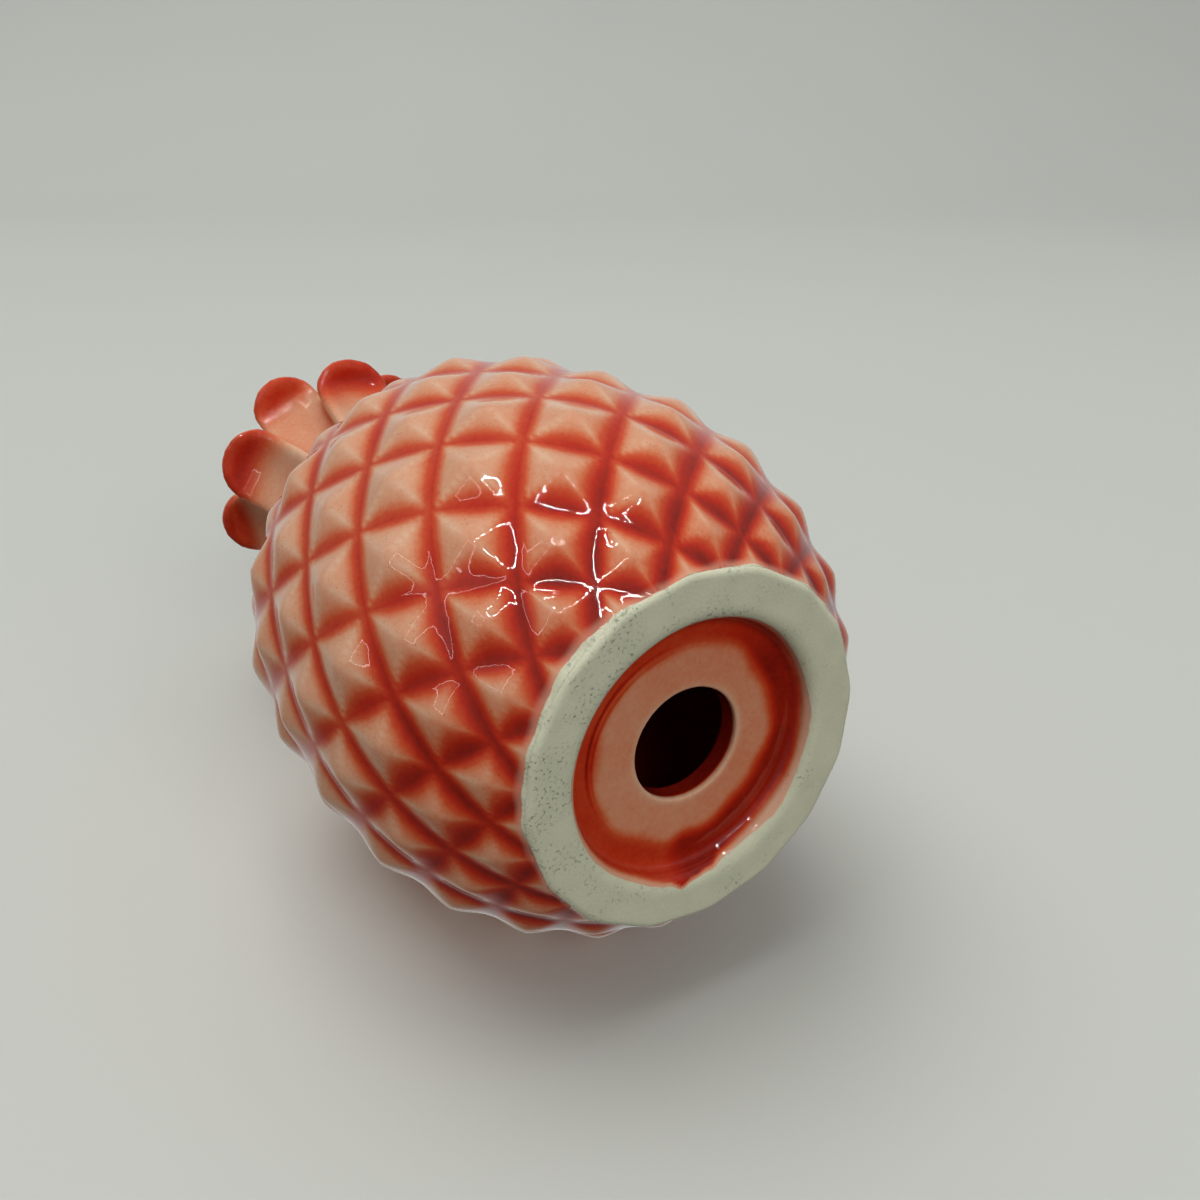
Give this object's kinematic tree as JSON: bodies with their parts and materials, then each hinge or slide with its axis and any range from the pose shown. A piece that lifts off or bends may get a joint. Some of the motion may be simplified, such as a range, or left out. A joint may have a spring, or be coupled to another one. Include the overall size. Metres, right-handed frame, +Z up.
{
  "type": "ceramic pineapple ornament",
  "caption": "Hollow glazed ceramic pineapple: barrel body with diamond-cut points, leafy crown, flat bare foot ring and a casting hole underneath.",
  "frame": {"origin": "centre of the foot ring's flat underside", "axes": "+Z up along the body's axis, from the foot to the crown; +X passes through a groove crossing on the foot's edge"},
  "size_m": [0.0622, 0.0622, 0.1057],
  "materials": {
    "coral_glaze": "glossy coral-red glaze, thin and peach on the points and deep red in the grooves; the foot ring is bare pale clay"
  },
  "bodies": {
    "root": {"pineapple": "coral_glaze"}
  },
  "joints": []
}
